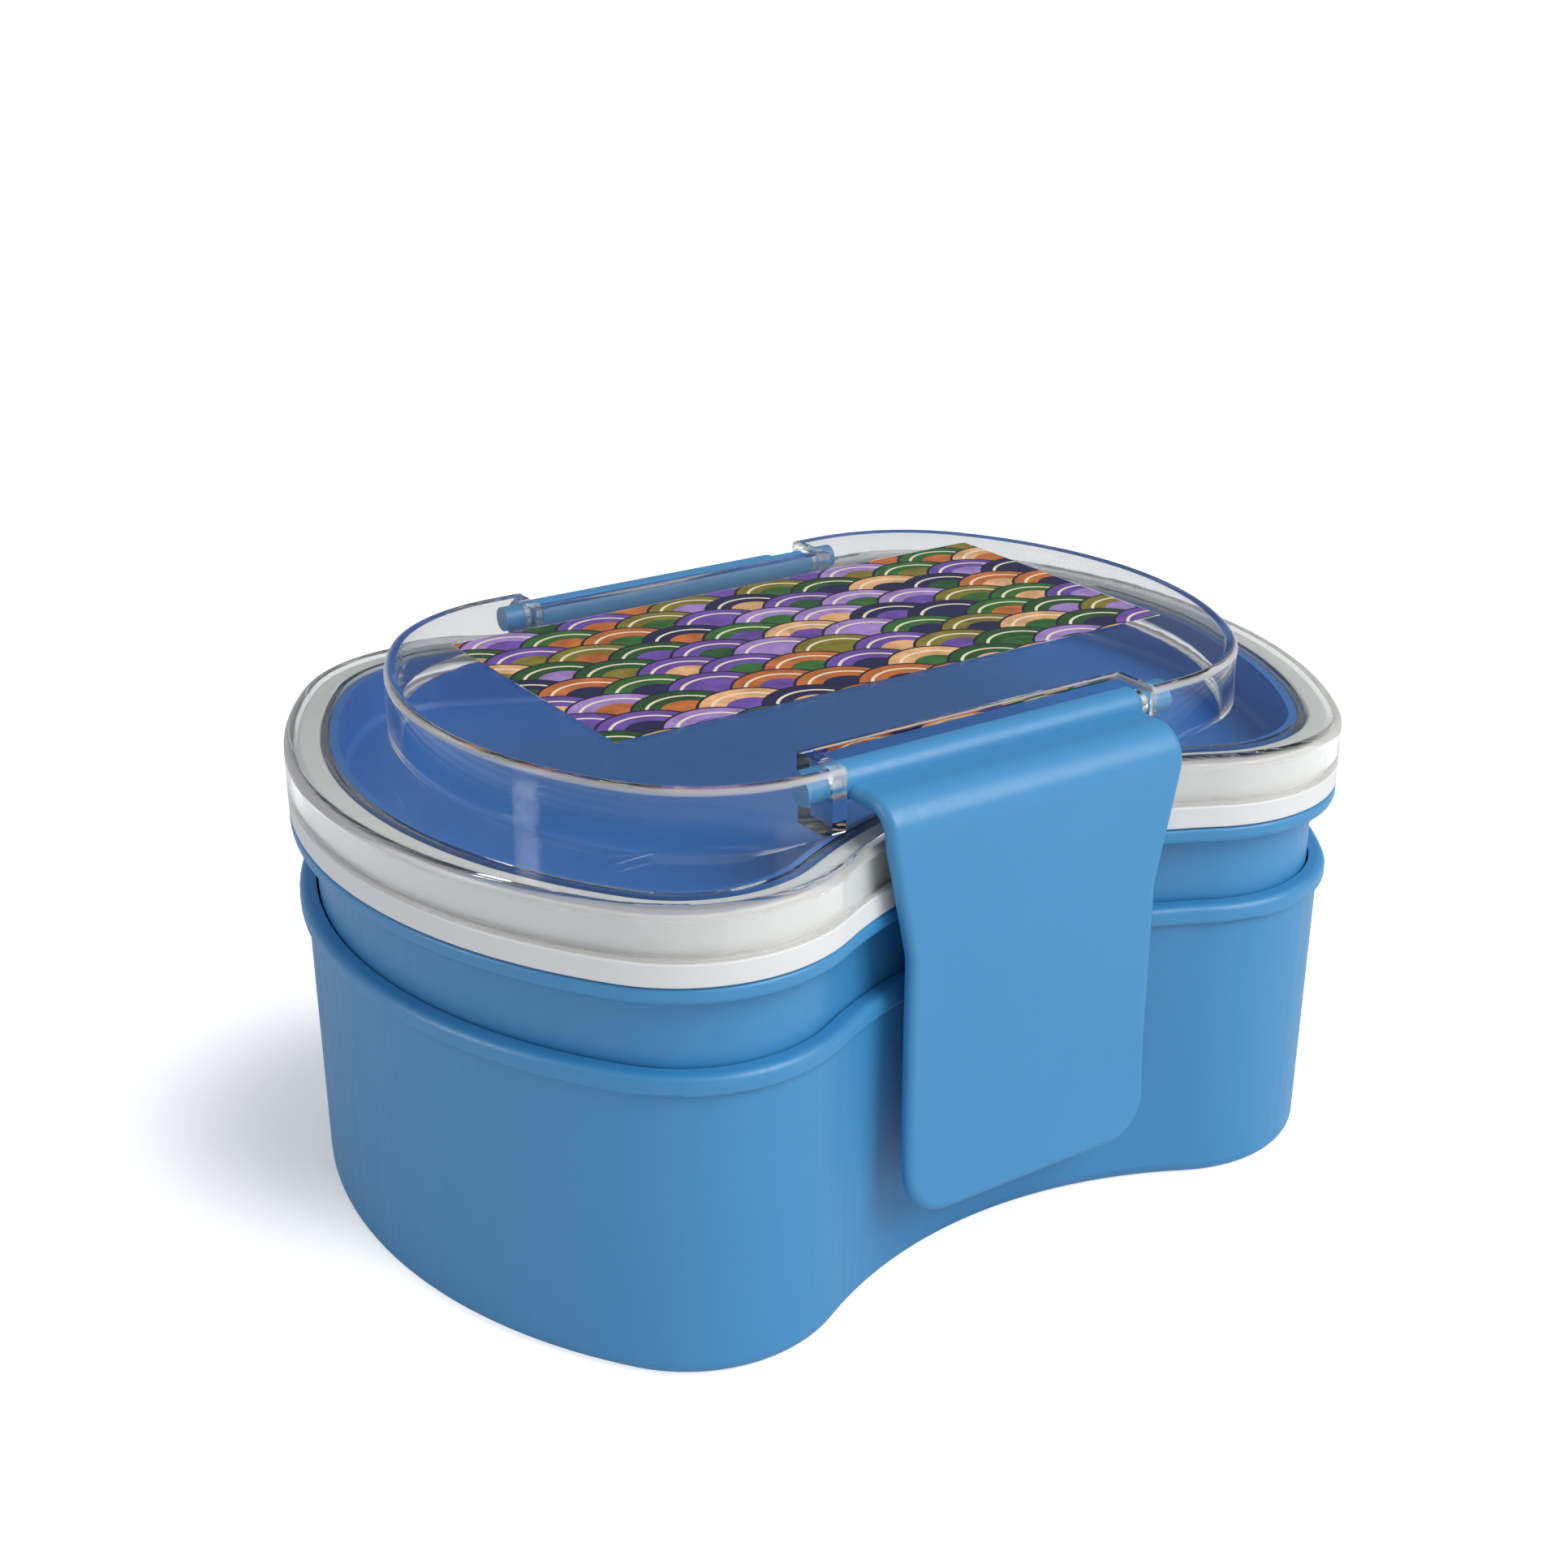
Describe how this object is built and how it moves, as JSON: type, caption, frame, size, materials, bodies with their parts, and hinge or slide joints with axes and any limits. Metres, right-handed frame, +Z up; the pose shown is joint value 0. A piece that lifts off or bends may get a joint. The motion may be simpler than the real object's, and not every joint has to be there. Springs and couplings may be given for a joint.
{
  "type": "bento lunch box",
  "caption": "Nesting two-tier lunch box with a waisted plan, a white sealing inner lid, a raised clear cover and hinged side clips",
  "frame": {"origin": "on the table, under the middle of the box", "axes": "+X along the box, +Y from the front clip to the rear clip, +Z up"},
  "size_m": [0.19, 0.1366, 0.0942],
  "materials": {
    "blue_body": "satin moulded polypropylene",
    "white_frame": "smooth moulded polypropylene",
    "clear_silicone": "translucent silicone",
    "clear_plastic": "clear polished styrene copolymer",
    "printed_film": "printed film, abstract many-coloured design"
  },
  "bodies": {
    "lower": {"lower_box": "blue_body"},
    "upper": {"upper_box": "blue_body"},
    "inner_lid": {"seal_frame": "white_frame", "lid_gasket": "clear_silicone", "inner_tray": "blue_body"},
    "cover": {"clear_cover": "clear_plastic", "print_panel": "printed_film"},
    "clip_front": {"front_clip": "blue_body"},
    "clip_rear": {"rear_clip": "blue_body"}
  },
  "joints": [
    {"name": "upper_lift", "type": "slide", "parent": "lower", "child": "upper", "axis": [0, 0, 1], "range_m": [0, 0.12]},
    {"name": "inner_lid_lift", "type": "slide", "parent": "upper", "child": "inner_lid", "axis": [0, 0, 1], "range_m": [0, 0.12]},
    {"name": "cover_lift", "type": "slide", "parent": "inner_lid", "child": "cover", "axis": [0, 0, 1], "range_m": [0, 0.12]},
    {"name": "front_clip_hinge", "type": "hinge", "parent": "cover", "child": "clip_front", "pos_m": [0, -0.0495, 0.0899], "axis": [-1, 0, 0], "range_deg": [-2.5, 105]},
    {"name": "rear_clip_hinge", "type": "hinge", "parent": "cover", "child": "clip_rear", "pos_m": [0, 0.0495, 0.0899], "axis": [1, 0, 0], "range_deg": [-2.5, 105]}
  ]
}
